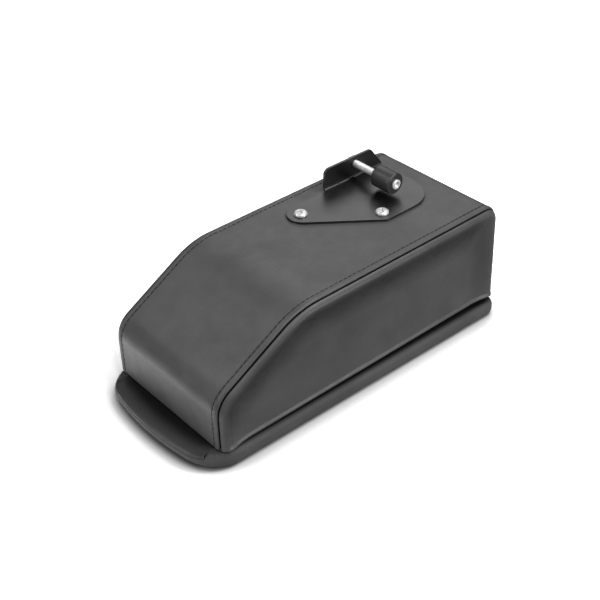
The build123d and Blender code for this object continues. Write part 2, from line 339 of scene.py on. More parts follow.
def plain_mesh(name, points, faces, painted_shade=None):
    mesh = bpy.data.meshes.new(name)
    mesh.from_pydata([tuple(p * mm for p in point) for point in points], [], faces)
    # the painted shade value of each point goes onto the mesh
    if painted_shade is not None:
        mesh.attributes.new("painted_shade", "FLOAT", "POINT").data.foreach_set("value", painted_shade)
    shape = shape_of(mesh)
    bmesh.ops.remove_doubles(shape, verts=shape.verts, dist=merge_distance)
    bmesh.ops.dissolve_degenerate(shape, edges=shape.edges, dist=merge_distance)
    bmesh.ops.recalc_face_normals(shape, faces=shape.faces)
    smooth_into(mesh, shape)
    return mesh


def loose(name, mesh):
    thing = bpy.data.objects.new(name, mesh)
    scene.collection.objects.link(thing)
    return thing


def evaluated_mesh(thing):
    ready = thing.evaluated_get(bpy.context.evaluated_depsgraph_get())
    return bpy.data.meshes.new_from_object(ready)


def join_body(name, mesh, material, body, slot, *nodes):
    if material is not None:
        mesh.materials.append(material)
    piece = loose(name, mesh)
    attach(piece, body)
    if nodes:
        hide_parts(*nodes)
    print(name, "has", len(mesh.polygons), "faces")
    return piece


def make_piece(name, points, faces, painted_shade, material, body, slot, *nodes):
    return join_body(name, plain_mesh(name, points, faces, painted_shade), material, body, slot, *nodes)


def face_outwards(piece, middle):
    outward = sum((f.center - middle).dot(f.normal) * f.area for f in piece.data.polygons)
    if outward < 0.0:
        piece.data.flip_normals()


def thicken(piece, thickness):
    solid = piece.modifiers.new("skin thickness", "SOLIDIFY")
    solid.thickness = thickness * mm
    solid.offset = -1.0
    solid.use_rim = True


# %% [markdown]
# ## The box in side view
# Seen from the side, the box rises from the rear rim, runs flat over the bottom board, falls along the
# slope and turns down over a round nose to the front rim. The cover follows this line, and at both rims it
# folds under the boards as a hem. The box stands a little tilted on the lid, because the hinge holds its
# rear rim higher.

# %% Sizes of the box, in millimetres
box_length = 274.0
box_height = 83.0
rear_lean = 4.2
bend_from_rear = 202.4
nose_height = 41.6
rear_half_width = 60.5
narrowing = 1.0
rear_gap = 5.2
front_gap = 0.5
rim_round = 2.2
hem = 7.2
lid_overhang = 2.5
line_step = 2.5
degrees_per_step = 2.5
lid_low, lid_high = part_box("lid_cover")
rear_rim = np.array((lid_high.x / mm - lid_overhang, 0.0, lid_high.z / mm + rear_gap))
tilt = asin((rear_gap - front_gap) / box_length)


def half_width(x):
    return rear_half_width + narrowing * x / box_length


def from_ends(x):
    return max(0.0, min(-x, x + box_length))


def stand_on_lid(points):
    points = np.asarray(points, dtype=float)
    x = points[:, 0] * cos(tilt) - points[:, 2] * sin(tilt)
    z = points[:, 0] * sin(tilt) + points[:, 2] * cos(tilt)
    return np.column_stack((x, points[:, 1], z)) + rear_rim


print("tilt on the lid, degrees:", round(degrees(tilt), 3))


# %% Side outline of the box
def spaced(length, fine):
    count = max(2, int(round(length / line_step)) + 1)
    middle = np.linspace(0.0, length, count)
    ends = [e for e in fine if e < length / 2.0]
    return np.unique(np.round(np.concatenate((middle, ends, [length - e for e in ends])), 4))


def side_line(corners, radii, fine=()):
    corners = [np.array(c, dtype=float) for c in corners]
    points = []
    normals = []
    start = corners[0]
    for i in range(1, len(corners)):
        end = corners[i]
        way = (end - start) / np.linalg.norm(end - start)
        side = np.array((way[1], -way[0]))
        if i < len(corners) - 1:
            onward = (corners[i + 1] - corners[i]) / np.linalg.norm(corners[i + 1] - corners[i])
            bend = acos(float(np.clip(way @ onward, -1.0, 1.0)))
            cut = radii[i - 1] * tan(bend / 2.0)
            end = corners[i] - way * cut
        for s in spaced(np.linalg.norm(end - start), fine):
            points.append(start + way * s)
            normals.append(side)
        if i < len(corners) - 1:
            centre = end - side * radii[i - 1]
            steps = max(4, int(degrees(bend) / degrees_per_step))
            for t in np.linspace(0.0, bend, steps + 1)[1:-1]:
                normal = side * cos(t) + way * sin(t)
                points.append(centre + normal * radii[i - 1])
                normals.append(normal)
            start = corners[i] + onward * cut
    return np.array(points), np.array(normals)


box_corners = [(0, 0), (-rear_lean, box_height), (-bend_from_rear, box_height), (-box_length, nose_height),
               (-box_length, 0)]
box_radii = [12.5, 62.0, 21.5]
strip_corners = [(-hem, 0), *box_corners, (-box_length + hem, 0)]
strip_line, strip_normals = side_line(strip_corners, [rim_round, *box_radii, rim_round])
print("side outline has", len(strip_line), "points")

# %% [markdown]
# ## Centre strip of the cover
# The cover is sewn from three panels. The centre strip runs over the rear, the bottom, the slope and the
# nose. At each edge it rolls down into the seam, and seven millimetres inside, a line of topstitching pulls
# a shallow groove into it. The cross-section is written once, as depth below the flat, and carried along
# the side outline.

# %% Edge of the centre strip: inset, depth and painted shade
stitch_inset = 7.3
stitch_groove = 0.45
groove_reach = 1.1
groove_shade = 0.4
border_puff = 0.22
puff_past_roll = 0.8
edge_start = 9.4
edge_step = 0.25
edge_roll = 1.8
roll_start = 4.2
roll_turn = 84.0
roll_points = 9
shade_from = 55.0
shade_over = 25.0
# the seam allowance at the bottom of the seam is painted fully dark: painted shade
seam_allowance = [(2.38, 2.8, 1.0), (2.2, 3.0, 1.0), (1.2, 3.1, 1.0)]


def groove_depth(inset):
    reach = unit(abs(inset - stitch_inset) / groove_reach)
    border = unit((stitch_inset - inset) / (stitch_inset - roll_start + puff_past_roll))
    puff = border_puff * sin(pi * border)
    return stitch_groove * 0.5 * (1.0 + cos(pi * reach)) - puff


strip_edge = []
for inset in np.arange(edge_start, roll_start, -edge_step):
    # painted shade in the topstitch groove
    strip_edge.append((inset, groove_depth(inset), max(0.0, groove_shade - abs(inset - stitch_inset))))
for angle in np.linspace(0.0, roll_turn, roll_points):
    t = radians(angle)
    # painted shade where the strip rolls down into the seam
    dark = unit((angle - shade_from) / shade_over)
    depth = edge_roll - edge_roll * cos(t) + groove_depth(roll_start) * (1.0 - angle / roll_turn)
    strip_edge.append((roll_start - edge_roll * sin(t), depth, dark))
strip_edge += seam_allowance
print("centre strip's edge has", len(strip_edge), "points across")

# %% Centre strip
flat_columns = 20
skin_thickness = 1.0
middle_height = 0.4 * box_height


def tuck(point):
    if point[1] > rim_round:
        return 0.0
    return from_ends(point[0])


flat_shares = np.linspace(-1.0, 1.0, flat_columns + 2)[1:-1]
dark_edge = [dark for inset, depth, dark in strip_edge]
strip_points = []
strip_painted_shade = []
for point, normal in zip(strip_line, strip_normals):
    half = half_width(point[0]) - tuck(point)
    edge = [(point - normal * depth, half - inset) for inset, depth, dark in strip_edge]
    flat = half - strip_edge[0][0]
    strip_points += [(spot[0], -y, spot[1]) for spot, y in reversed(edge)]
    strip_points += [(point[0], flat * share, point[1]) for share in flat_shares]
    strip_points += [(spot[0], y, spot[1]) for spot, y in edge]
    strip_painted_shade += dark_edge[::-1] + [0.0] * flat_columns + dark_edge
strip_faces = planks(len(strip_line), len(strip_edge) * 2 + flat_columns)
strip = make_piece("sewn_centre_strip", stand_on_lid(strip_points), strip_faces, strip_painted_shade, cover_skin,
                   "box", "black_leatherette", "cover_centre_strip")
box_middle = Vector(stand_on_lid([(-box_length / 2.0, 0.0, middle_height)])[0] * mm)
face_outwards(strip, box_middle)
thicken(strip, skin_thickness)

# %% [markdown]
# ## Side panels of the cover
# Each side panel is one flat cut of leatherette. Its upper edge is rolled over a thin foam strip, so it
# stands a little proud beside the seam, catches the light there and dips into a hollow behind the roll. The
# hollow's shade is partly cast by the lamps and partly painted into the colour, and the seam itself is
# painted dark. At the rim it turns round the board's edge and under it. The rings follow the seam; below
# them the panel is planked down to the rim.

# %% Roll beside the seam: inset, depth and painted shade
# the seam's own points are painted fully dark: painted shade
seam_edge = [(1.7, 3.2, 1.0), (1.62, 2.2, 1.0)]
roll_inset = 1.45
roll_depth = 1.5
roll_step = 0.4
roll_length = 34.0
# painted shade at the fold into the seam, fading over the first half millimetre
fold_shade = 0.75
roll_shade = 0.5
lean_at = [0.0, 2.0, 6.0, 9.0, 13.0, 28.0]
lean_degrees = [70.0, 48.0, 4.0, -12.0, -12.0, 0.0]
# painted shade in the hollow behind the roll, by depth from the seam
hollow_at = [2.5, 6.0, 9.0, 15.0, 30.0]
hollow_shade = [0.0, 0.38, 0.6, 0.52, 0.0]
ring_depth = 9.0


def roll_section():
    inset = roll_inset
    depth = roll_depth
    section = [*seam_edge, (inset, depth, fold_shade)]
    for s in np.arange(roll_step, roll_length, roll_step):
        lean = radians(np.interp(s, lean_at, lean_degrees))
        inset -= sin(lean) * roll_step
        depth += cos(lean) * roll_step
        hollow = np.interp(depth, hollow_at, hollow_shade)
        section.append((inset, depth, max(hollow, roll_shade - s)))
    return section


panel_section = roll_section()
near_seam = [row for row in panel_section if row[1] < ring_depth]
wall_insets, wall_depths, wall_shades = zip(*panel_section[len(seam_edge) + 1:])
print("roll has", len(near_seam), "rings along the seam")

# %% Rim and wall of a side panel
rim_steps = [0.0, 0.1, 0.3, 0.6, 0.9, 1.2, 2.0, 2.8, 3.8, 5.0, 8.0]
rim_zone = rim_steps[-1]
rim_lip = 1.5
lip_round = 1.2
lip_height = 2.6
lip_fade = 6.0
wall_swell = 0.5
swell_height = 75.0
hollow_from_rear = 8.0
hollow_fade_rear = 25.0
hollow_fade_rim = 30.0
wall_shares = (0.03, 0.07, 0.11, 0.16, 0.22, 0.3, 0.4, 0.52, 0.66, 0.8, 0.88)
wall_end = 0.9
panel_line, panel_normals = side_line(box_corners, box_radii, rim_steps)


def rim_turn(x, z):
    lip = -rim_lip * (1.0 - unit((z - lip_round) / lip_height)) * unit(from_ends(x) / lip_fade) ** 2
    if z >= lip_round:
        return lip
    return lip + lip_round - sqrt(max(0.0, lip_round ** 2 - (lip_round - z) ** 2))


# the hollow's painted shade fades out near the rear edge and towards the rim
def under_roll(x, z):
    return unit((-x - hollow_from_rear) / hollow_fade_rear) * unit(z / hollow_fade_rim)


def wall_spot(x, z):
    gap = float(np.min(np.hypot(panel_line[:, 0] - x, panel_line[:, 1] - z)))
    swell = sin(pi * unit(-x / box_length)) * sin(pi * unit(z / swell_height))
    inset = float(np.interp(gap, wall_depths, wall_insets)) - wall_swell * swell
    shade = float(np.interp(gap, wall_depths, wall_shades)) * under_roll(x, z)
    return x, z, inset, shade


def wall_row(last_ring, foot, heights, share_at_rim):
    row = []
    for (x, top, *_), foot_x, z in zip(last_ring, foot, heights):
        share = 1.0 - z / top if top > 1e-6 else share_at_rim
        row.append(wall_spot(x + (foot_x - x) * share, z))
    return row


def wall_height(top, share):
    if top <= rim_zone:
        return top
    return rim_zone + (top - rim_zone) * (1.0 - share / wall_end)


print("panel outline has", len(panel_line), "points")

# %% Side panels
hem_insets = [3.2, 5.0, hem]
mitre_lap = 3.0
mitre_lift = 0.35
mitre_fade = 2.0
spread_by_place = 0.85
spread_evenly = 0.15


def panel_rows():
    rows = []
    for inset, depth, dark in near_seam:
        ring = panel_line - panel_normals * depth
        ring[:, 1] = np.maximum(ring[:, 1], 0.0)
        ring[0, 1] = 0.0
        ring[-1, 1] = 0.0
        shaded = depth >= hollow_at[0]
        rows.append([(x, z, inset, dark * under_roll(x, z) if shaded else dark) for x, z in ring])
    last_ring = rows[-1]
    start = near_seam[-1][1]
    span = box_length - 2.0 * start
    along = np.linspace(0.0, 1.0, len(last_ring))
    reach = np.array([unit((-spot[0] - start) / span) for spot in last_ring])
    foot = -start - span * (spread_by_place * reach + spread_evenly * along)
    for share in wall_shares:
        rows.append(wall_row(last_ring, foot, [wall_height(spot[1], share) for spot in last_ring], 0.0))
    for step in reversed(rim_steps):
        rows.append(wall_row(last_ring, foot, [step * unit(spot[1] / rim_zone) for spot in last_ring], 1.0))
    return rows


def side_panel(name, hand, node):
    rows = panel_rows()
    points = []
    painted_shade = []
    for row in rows:
        for x, z, inset, dark in row:
            points.append((x, hand * (half_width(x) - inset - rim_turn(x, z)), z))
            painted_shade.append(dark)
    columns = len(panel_line)
    faces = planks(len(rows), columns)
    ring_starts = [r * columns for r in range(len(seam_edge), len(near_seam))]
    bottom = ring_starts + [(len(rows) - 1) * columns + c for c in range(columns)]
    bottom += [k + columns - 1 for k in reversed(ring_starts)]
    first = len(points)
    for inset in hem_insets:
        for k in bottom:
            x = points[k][0]
            mitre = from_ends(x) + mitre_lap
            lift = mitre_lift * unit((hem + mitre_lap - mitre) / mitre_fade)
            points.append((x, hand * (half_width(x) - min(inset, mitre)), lift))
            painted_shade.append(0.0)
    faces += planks(len(hem_insets), len(bottom), first)
    faces += bridge(bottom, range(first, first + len(bottom)))
    points = stand_on_lid(points)
    panel = make_piece(name, points, faces, painted_shade, cover_skin, "box", "black_leatherette", node)
    face_outwards(panel, box_middle)
    thicken(panel, skin_thickness)


side_panel("sewn_near_panel", -1.0, "cover_near_side")
side_panel("sewn_far_panel", 1.0, "cover_far_side")

# %% [markdown]
# ## Topstitching
# A lockstitch machine lays one stitch about every four millimetres, each a short oval of thread sunk in its
# groove. They are all alike, so Geometry Nodes lays one oval along both lines and turns each to its line.
# Every such tree lays copies on points, makes them real and gives them a material, so one helper sets that
# up. The tree is grown on a seedling object, and its result becomes a plain mesh.

# %% Helpers for Geometry Nodes
def new_tree(name, inputs, material):
    tree = bpy.data.node_groups.new(name, "GeometryNodeTree")
    tree.interface.new_socket("Geometry", in_out="INPUT", socket_type="NodeSocketGeometry")
    for label, kind, value in inputs:
        socket = tree.interface.new_socket(label, in_out="INPUT", socket_type="NodeSocket" + kind)
        if value is not None:
            socket.default_value = value
    tree.interface.new_socket("Geometry", in_out="OUTPUT", socket_type="NodeSocketGeometry")
    group = tree.nodes.new("NodeGroupInput")
    lay = tree.nodes.new("GeometryNodeInstanceOnPoints")
    real = tree.nodes.new("GeometryNodeRealizeInstances")
    paint = tree.nodes.new("GeometryNodeSetMaterial")
    out = tree.nodes.new("NodeGroupOutput")
    wire(lay.outputs["Instances"], real, "Geometry")
    wire(real.outputs["Geometry"], paint, "Geometry")
    wire(group.outputs[material], paint, "Material")
    wire(paint.outputs["Geometry"], out, "Geometry")
    return tree, group, lay


def grown(name, mesh, tree, values, body, slot, *nodes):
    seedling = loose(name + " base", mesh)
    growth = seedling.modifiers.new("growth", "NODES")
    growth.node_group = tree
    for item in tree.interface.items_tree:
        if item.in_out == "INPUT" and item.name in values:
            growth[item.identifier] = values[item.name]
    grown_mesh = evaluated_mesh(seedling)
    bpy.data.objects.remove(seedling)
    for polygon in grown_mesh.polygons:
        polygon.use_smooth = True
    join_body(name, grown_mesh, None, body, slot, *nodes)


# %% Tree that lays stitches along a line
stitch_seed = 7
least_stitch = (0.92, 0.9, 0.9)
most_stitch = (1.04, 1.1, 1.1)


def stitch_tree():
    tree, group, lay = new_tree("stitches along a line", (
        ("Stitch pitch", "Float", 0.0043), ("Stitch length", "Float", 0.0031),
        ("Thread width", "Float", 0.0009), ("Seed", "Int", stitch_seed), ("Thread", "Material", None)),
        "Thread")
    nodes = tree.nodes
    line = nodes.new("GeometryNodeMeshToCurve")
    dots = nodes.new("GeometryNodeResampleCurve")
    dots.mode = "LENGTH"
    oval = nodes.new("GeometryNodeMeshUVSphere")
    settle(oval, {"Segments": 8, "Rings": 5, "Radius": 0.5})
    size = nodes.new("ShaderNodeCombineXYZ")
    turn_to = nodes.new("FunctionNodeAlignRotationToVector")
    turn_to.axis = "X"
    tangent = nodes.new("GeometryNodeInputTangent")
    vary_size = nodes.new("FunctionNodeRandomValue")
    vary_size.data_type = "FLOAT_VECTOR"
    settle(vary_size, {0: least_stitch, 1: most_stitch})
    scale = nodes.new("ShaderNodeVectorMath")
    scale.operation = "MULTIPLY"
    wire(group.outputs["Geometry"], line, "Mesh")
    wire(line.outputs["Curve"], dots, "Curve")
    wire(group.outputs["Stitch pitch"], dots, "Length")
    wire(dots.outputs["Curve"], lay, "Points")
    wire(oval.outputs["Mesh"], lay, "Instance")
    wire(tangent.outputs["Tangent"], turn_to, "Vector")
    wire(turn_to.outputs["Rotation"], lay, "Rotation")
    wire(group.outputs["Stitch length"], size, "X")
    wire(group.outputs["Thread width"], size, "Y")
    wire(group.outputs["Thread width"], size, "Z")
    wire(group.outputs["Seed"], vary_size, "Seed")
    wire(size.outputs["Vector"], scale, 0)
    wire(vary_size.outputs[0], scale, 1)
    wire(scale.outputs["Vector"], lay, "Scale")
    return tree


# %% Topstitches
stitch_stands_out = 0.12
lowest_stitch = 1.5 * rim_round
stitch_points = []
stitch_edges = []
on_wall = [i for i in range(len(strip_line)) if strip_line[i][1] > lowest_stitch]
for hand in (-1.0, 1.0):
    first = len(stitch_points)
    for i in on_wall:
        spot = strip_line[i] - strip_normals[i] * (stitch_groove - stitch_stands_out)
        stitch_points.append((spot[0], hand * (half_width(spot[0]) - stitch_inset), spot[1]))
    stitch_edges += [(k, k + 1) for k in range(first, len(stitch_points) - 1)]
stitch_line = bpy.data.meshes.new("topstitch lines")
stitch_line.from_pydata([tuple(p * mm) for p in stand_on_lid(stitch_points)], stitch_edges, [])
grown("topstitches", stitch_line, stitch_tree(), {"Thread": thread, "Seed": stitch_seed}, "box",
      "black_leatherette")

# %% [markdown]
# ## The padded lid
# The lid is a board with a foam pad, wrapped in leatherette that folds over the edge and is glued to the
# inner face. The wrap is drawn as a section round the lid's outline: fold, soft side, rounded lower edge,
# then the pad, which is crowned and flat only where it rests on the table. At the front the foam is thicker
# and makes a fuller roll, and there the inner sheet comes over the edge, so the wrap starts lower.

# %% Lid outline: place and direction outwards
lid_front = lid_low.x / mm
lid_rear = lid_high.x / mm
lid_top = lid_high.z / mm
lid_half_rear = lid_high.y / mm
lid_thickness = 14.0
front_bow = 9.0
front_corner = 27.0
rear_corner = 8.0
bow_points = 31
front_corner_points = 41
side_points = 92
rear_corner_points = 13
rear_points = 20


def lid_half(x):
    return lid_half_rear + narrowing * (x - lid_rear) / box_length


chord_half = lid_half(lid_front + front_bow)
bow_radius = (chord_half ** 2 + front_bow ** 2) / (2.0 * front_bow)
bow_centre = lid_front + bow_radius
corner_y = lid_half(lid_front + front_bow + front_corner) - front_corner
corner_x = bow_centre - sqrt((bow_radius - front_corner) ** 2 - corner_y ** 2)
corner_start = asin(corner_y / (bow_radius - front_corner))


def rounded(x, y, radius, t, ahead):
    return x + ahead * radius * cos(t), y + radius * sin(t), ahead * cos(t), sin(t)


def lid_outline():
    rear_x = lid_rear - rear_corner
    rear_y = lid_half(rear_x) - rear_corner
    quarter = pi / 2.0
    line = []
    for t in np.linspace(0.0, corner_start, bow_points):
        line.append(rounded(bow_centre, 0.0, bow_radius, t, -1.0))
    for t in np.linspace(corner_start, quarter, front_corner_points)[1:]:
        line.append(rounded(corner_x, corner_y, front_corner, t, -1.0))
    line += [(x, lid_half(x), 0.0, 1.0) for x in np.linspace(corner_x, rear_x, side_points)[1:]]
    for t in np.linspace(quarter, 0.0, rear_corner_points)[1:]:
        line.append(rounded(rear_x, rear_y, rear_corner, t, 1.0))
    line += [(lid_rear, y, 1.0, 0.0) for y in np.linspace(rear_y, 0.0, rear_points)[1:]]
    return line + [(x, -y, nx, -ny) for x, y, nx, ny in reversed(line[1:-1])]


outline = lid_outline()
print("lid outline has", len(outline), "points")

# %% [markdown]
# ## Wrapping the pad
# Two sections, one for the sides and one for the front, are blended round the corners. Where the sheet's
# straight cut meets the corner, the wrap comes up over the edge in a few small gathers, because it has to
# turn a tight corner there.

# %% Wrap sections: inset from the outline and height over the lid's top
def arc(middle, radii, angles):
    points = []
    for angle in angles:
        t = radians(angle)
        points.append((middle[0] - radii[0] * cos(t), middle[1] - radii[1] * sin(t)))
    return points


side_middle = (4.4, -7.0)
side_radii = (4.8, 6.4)
lower_turn = np.linspace(0.0, 90.0, 11)
side_top = [(13.0, -0.95), (12.0, -0.85), (11.0, -0.75), (8.0, -0.65), (6.0, -0.6), (4.6, -0.6)]
side_top += arc(side_middle, side_radii, np.linspace(-82.0, -15.0, 7))
side_low = arc(side_middle, side_radii, (-8.0, 0.0)) + [(-0.5, -8.4)]
side_low += arc((3.4, -10.0), (3.85, 3.5), lower_turn)
front_top = [(6.0, -4.4), (5.0, -4.3), (4.0, -4.2), (3.0, -4.1), (2.0, -4.0), (1.3, -3.95)]
front_top += arc((1.0, -4.8), (1.05, 0.85), np.linspace(-78.0, 0.0, 7))
front_low = [(-0.1, -5.0), (-0.15, -5.2), (-0.2, -5.4)]
front_low += arc((12.0, -5.6), (12.2, 8.0), lower_turn)
crown_rest = [(5.0, 0.28), (12.0, 0.1), (21.0, 0.0)]
# painted shade on the wrap's top where it runs under the box's rim and under the inner sheet's front roll
side_painted_shade = [0.0, 0.0, 0.1, 0.5, 0.85, 0.9, 0.9, 0.8, 0.5, 0.2, 0.1, 0.0, 0.0]
front_painted_shade = [1.0] * 7 + [0.8, 0.5, 0.2, 0.0, 0.0, 0.0]
wrap_columns = len(side_top) + len(side_low) + len(crown_rest)
print("wrap has", wrap_columns, "points across")

# %% Blend of the two sections round the corners, by the direction in degrees (0 is the front, 90 the side)
low_blend = 78.0
sheet_cut = 47.0
cut_blend = 10.0
gather_start = 40.0
gather_pitch = 8.0
gather_lift = 0.32
gather_rise = 6.0
gather_end = 78.0
gather_fall = 14.0
# the painted shade is weaker round the front corners than along the sides
corner_shade = 0.25
side_shade_from = 60.0
side_shade_over = 30.0


def blend(first, second, share):
    return first + (second - first) * share


def gathers(facing):
    wave = gather_lift * sin((facing - gather_start) / gather_pitch * 2.0 * pi)
    return wave * ease((facing - gather_start) / gather_rise) * ease((gather_end - facing) / gather_fall)


def wrap_section(x, nx, ny):
    facing = degrees(atan2(abs(ny), -nx)) if x < 0.0 else 90.0
    low = ease((90.0 - facing) / low_blend)
    top = ease((sheet_cut - facing) / cut_blend)
    along_side = corner_shade + (1.0 - corner_shade) * ease((facing - side_shade_from) / side_shade_over)
    gather = gathers(facing) if x < 0.0 else 0.0
    section = []
    for k, (side, front) in enumerate(zip(side_top, front_top)):
        lift = gather * sin(pi * k / len(side_top)) * (1.0 - top)
        dark = side_painted_shade[k] * along_side * (1.0 - top) + front_painted_shade[k] * top
        section.append((blend(side[0], front[0], top), blend(side[1], front[1], top) + lift, dark))
    for side, front in zip(side_low, front_low):
        section.append((blend(side[0], front[0], low), blend(side[1], front[1], low), 0.0))
    edge = section[-1][0]
    section += [(edge + inset, lift - lid_thickness, 0.0) for inset, lift in crown_rest]
    return section


# %% Padded lid
inner_depth = 4.6
spine_front = 70.0
spine_rear = 60.0
wrap_points = []
wrap_painted_shade = []
for x, y, nx, ny in outline:
    for inset, height, dark in wrap_section(x, nx, ny):
        wrap_points.append((x - nx * inset, y - ny * inset, lid_top + height))
        wrap_painted_shade.append(dark)
wrap_faces = planks(len(outline), wrap_columns)
last_row = (len(outline) - 1) * wrap_columns
wrap_faces += bridge(range(last_row, last_row + wrap_columns), range(wrap_columns))


def close_in(ring, height, shares):
    rim = [wrap_points[k] for k in ring]
    for share in shares:
        first = len(wrap_points)
        for x, y, z in rim:
            spine_x = max(lid_front + spine_front, min(lid_rear - spine_rear, x))
            wrap_points.append((spine_x + (x - spine_x) * share, y * share, height))
            wrap_painted_shade.append(0.0)
        inner = range(first, len(wrap_points))
        wrap_faces.extend(bridge(ring, inner, True))
        ring = inner


top_ring = [k * wrap_columns for k in range(len(outline))]
bottom_ring = [k + wrap_columns - 1 for k in top_ring]
close_in(bottom_ring, lid_top - lid_thickness, (0.8, 0.55, 0.3, 0.0))
close_in(top_ring, lid_top - inner_depth, (0.97, 0.8, 0.5, 0.0))
lid_pad = make_piece("padded_lid", wrap_points, wrap_faces, wrap_painted_shade, lid_skin, "lid",
                     "black_leatherette", "lid_cover", "lid_foam", "lid_board")

# %% [markdown]
# ## Inner face of the lid
# A second sheet of leatherette is glued on inside. It has straight sides, with a cut edge that stands a
# little above the folded wrap, and at the front it rolls over the lid's edge. Rows run from the front edge
# to the rear. In front of the nose the sheet lies in shade, which a painted shade in its colour deepens.

# %% Inner sheet
sheet_half = 52.0
sheet_columns = 69
sheet_thickness = 0.8
sheet_stops_short = 2.2
front_roll = [(0.3, -4.0), (0.2, -3.5), (0.3, -3.0), (0.6, -2.5), (1.05, -2.15), (1.6, -1.9), (2.4, -1.68)]
roll_reach = front_roll[-1][0]
fall_at = [2.4, 5.0, 8.0, 11.0, 14.0, 17.0]
fall_height = [-1.68, -1.05, -0.55, -0.22, -0.06, 0.0]
cut_edge = [(0.55, -1.0), (0.5, -0.55), (0.35, -0.18)]
row_shares = (0.006, 0.012, 0.02, 0.03, 0.04, 0.05, 0.07, 0.1, 0.2, 0.4, 0.6, 0.8, 0.97, 1.0)
straight_from = 0.1
# painted shade on the sheet in front of the nose, by distance from the front edge
sheet_shade = 0.8
shade_start = 4.0
shade_rise = 11.0
shade_end = 40.0
shade_fall = 12.0
sheet_lines = [(-(sheet_half + out), drop) for out, drop in cut_edge]
sheet_lines += [(y, 0.0) for y in np.linspace(-sheet_half, sheet_half, sheet_columns)]
sheet_lines += [(sheet_half + out, drop) for out, drop in reversed(cut_edge)]


def front_edge(y):
    bow_y = bow_radius * sin(corner_start)
    if abs(y) <= bow_y:
        t = asin(abs(y) / bow_radius)
        return bow_centre - bow_radius * cos(t), t
    t = asin(min(1.0, (abs(y) - corner_y) / front_corner))
    return corner_x - front_corner * cos(t), t


sheet_points = []
sheet_painted_shade = []
for y, drop in sheet_lines:
    x, t = front_edge(y)
    hand = copysign(1.0, y)
    for inset, height in front_roll:
        roll_y = y - hand * inset * sin(t)
        sheet_points.append((x + inset * cos(t), roll_y, lid_top + height + drop))
        sheet_painted_shade.append(0.0)
    start_x = x + roll_reach * cos(t)
    for share in row_shares:
        row_y = y - hand * roll_reach * sin(t) * (1.0 - ease(share / straight_from))
        row_x = start_x + (lid_rear - sheet_stops_short - start_x) * share
        inset = roll_reach + (row_x - start_x) * cos(t)
        fall = float(np.interp(inset, fall_at, fall_height))
        sheet_points.append((row_x, row_y, lid_top + fall + drop))
        shaded = ease((inset - shade_start) / shade_rise) * ease((shade_end - inset) / shade_fall)
        sheet_painted_shade.append(sheet_shade * shaded)
sheet_faces = planks(len(sheet_lines), len(front_roll) + len(row_shares))
sheet = make_piece("lid_inner_sheet", sheet_points, sheet_faces, sheet_painted_shade, inner_skin, "lid",
                   "inner_leatherette", "lid_lining")
if sum(f.normal.z * f.area for f in sheet.data.polygons) < 0.0:
    sheet.data.flip_normals()
thicken(sheet, sheet_thickness)

# %% [markdown]
# ## The bracket
# The bracket is cut from sheet steel, folded and powder coated. A coating never leaves a knife edge, so the
# CAD shape is copied, its loose triangles are merged, and its edges are broken by a third of a millimetre.

# %% Bracket with broken edges
coat_break = 0.35
triangle_merge = 0.000001
flat_limit = radians(0.3)
edge_limit = radians(40.0)
bracket_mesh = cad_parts["bracket_plate"].data.copy()
bracket_mesh.materials.clear()
shape = shape_of(bracket_mesh)
bmesh.ops.remove_doubles(shape, verts=shape.verts, dist=triangle_merge)
bmesh.ops.dissolve_limit(shape, angle_limit=flat_limit, verts=shape.verts, edges=shape.edges)
smooth_into(bracket_mesh, shape)
bracket = join_body("coated_bracket", bracket_mesh, coated, "box", "black_coated_steel", "bracket_plate")
broken = bracket.modifiers.new("broken edges", "BEVEL")
broken.width = coat_break * mm
broken.segments = 2
broken.limit_method = "ANGLE"
broken.angle_limit = edge_limit
even = bracket.modifiers.new("even shading", "WEIGHTED_NORMAL")
even.mode = "FACE_AREA"
even.weight = 100

# %% [markdown]
# ## Pan-head screws
# Three pan-head screws with cross recesses hold the bracket. One screw is turned on a lathe, so to speak,
# and its recess is cut with a boolean. Geometry Nodes then puts the same screw on the three points.

# %% Lathe: points round an axis, from radius and place along it
def lathe(line, sides, radius_at=None):
    points = []
    for radius, along in line:
        for k in range(sides):
            t = 2.0 * pi * k / sides
            r = radius if radius_at is None else radius_at(radius, along, t)
            points.append((r * cos(t), r * sin(t), along))
    return points


screw_sides = 32
screw_head = [(0.0, 3.0), (1.2, 2.98), (2.4, 2.86), (3.5, 2.55), (4.35, 2.05), (4.85, 1.5), (5.0, 1.0),
              (5.0, 0.25), (4.85, 0.0)]
screw_shank = [(2.5, 0.0), (2.5, -16.9), (2.1, -17.4), (0.0, -17.4)]
screw_line = screw_head + screw_shank
screw_faces = planks(len(screw_line), screw_sides, 0, True)
screw = loose("pan head screw", plain_mesh("pan head screw", lathe(screw_line, screw_sides), screw_faces))
print("screw before its recess is cut:", len(screw.data.polygons), "faces")

# %% Cross recess
recess_levels = ((0.5, 0.7), (0.85, 3.4))
arm_at_floor = 1.2
arm_flare = 0.65
sharp_from = radians(38.0)
cross_points = []
for wide, height in recess_levels:
    long = arm_at_floor + arm_flare * height
    quarter = [(long, wide), (wide, wide), (wide, long)]
    cross = quarter + [(-x, y) for x, y in reversed(quarter)]
    cross += [(-x, -y) for x, y in cross]
    cross_points += [(x, y, height) for x, y in cross]
corners = len(cross)
cross_faces = planks(2, corners, 0, True)
cross_faces += [tuple(reversed(range(corners))), tuple(range(corners, 2 * corners))]
cutter = loose("cross cutter", plain_mesh("cross cutter", cross_points, cross_faces))
cut = screw.modifiers.new("recess", "BOOLEAN")
cut.operation = "DIFFERENCE"
cut.solver = "EXACT"
cut.object = cutter
screw_mesh = evaluated_mesh(screw)
screw.modifiers.clear()
screw.data = screw_mesh
bpy.data.objects.remove(cutter)
shape = shape_of(screw_mesh)
for edge in shape.edges:
    edge.smooth = len(edge.link_faces) == 2 and edge.calc_face_angle() < sharp_from
